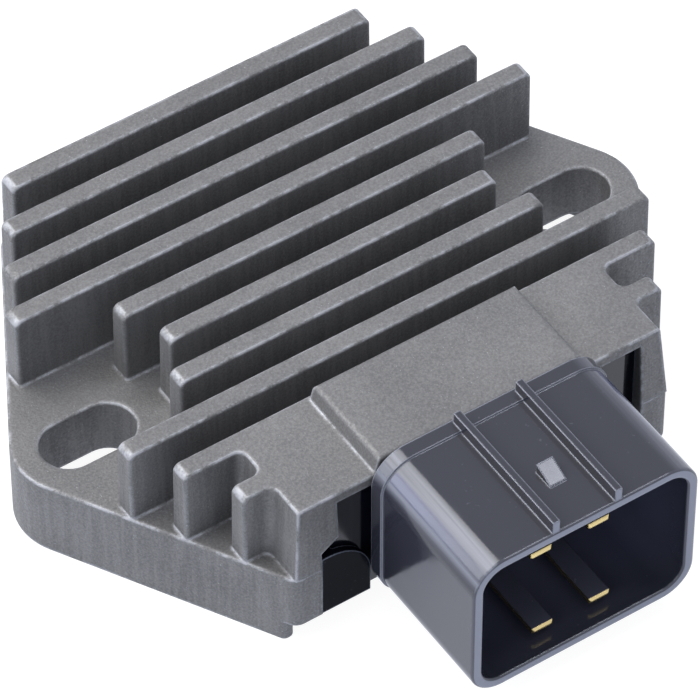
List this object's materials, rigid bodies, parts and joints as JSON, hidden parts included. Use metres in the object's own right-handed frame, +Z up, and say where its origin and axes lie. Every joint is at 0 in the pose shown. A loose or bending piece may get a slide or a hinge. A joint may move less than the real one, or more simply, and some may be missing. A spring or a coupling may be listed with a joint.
{
  "type": "voltage regulator rectifier",
  "caption": "Finned die-cast regulator rectifier for a small motorcycle, with slotted mounting ears, a potted underside and a moulded blade connector at one end",
  "frame": {"origin": "in the mounting face, halfway between the centres of the two mounting slots", "axes": "X along the cooling fins and through both mounting slots, -Y the way a plug leaves the connector, +Z up out of the mounting face"},
  "size_m": [0.085, 0.0827, 0.0267],
  "materials": {
    "cast_aluminium": "shot-blasted dark grey die casting",
    "black_nylon": "glossy black moulding",
    "black_potting": "poured compound",
    "brass_blade": "stamped",
    "grey_thermal_sheet": "filled silicone sheet",
    "black_epoxy": "moulded epoxy",
    "tinned_copper": "tin plated",
    "green_board": "glass laminate with solder mask",
    "can_aluminium": "drawn can",
    "orange_glass": "sealed glass body",
    "white_ceramic": "fired chip body"
  },
  "bodies": {
    "root": {"heat_sink": "cast_aluminium", "connector_housing": "black_nylon", "potting_compound": "black_potting", "terminal_ac_1": "brass_blade", "terminal_ac_2": "brass_blade", "terminal_positive": "brass_blade", "terminal_ground": "brass_blade", "thermal_sheet": "grey_thermal_sheet", "rectifier_diode_1": "black_epoxy", "rectifier_diode_1_tab": "tinned_copper", "rectifier_diode_1_leads": "tinned_copper", "rectifier_diode_2": "black_epoxy", "rectifier_diode_2_tab": "tinned_copper", "rectifier_diode_2_leads": "tinned_copper", "thyristor_1": "black_epoxy", "thyristor_1_tab": "tinned_copper", "thyristor_1_leads": "tinned_copper", "thyristor_2": "black_epoxy", "thyristor_2_tab": "tinned_copper", "thyristor_2_leads": "tinned_copper", "circuit_board": "green_board", "control_chip": "black_epoxy", "capacitor": "can_aluminium", "zener_diode": "orange_glass", "driver_transistor_1": "black_epoxy", "driver_transistor_2": "black_epoxy", "resistor_1": "white_ceramic", "resistor_2": "white_ceramic", "resistor_3": "white_ceramic", "resistor_4": "white_ceramic"}
  },
  "joints": []
}
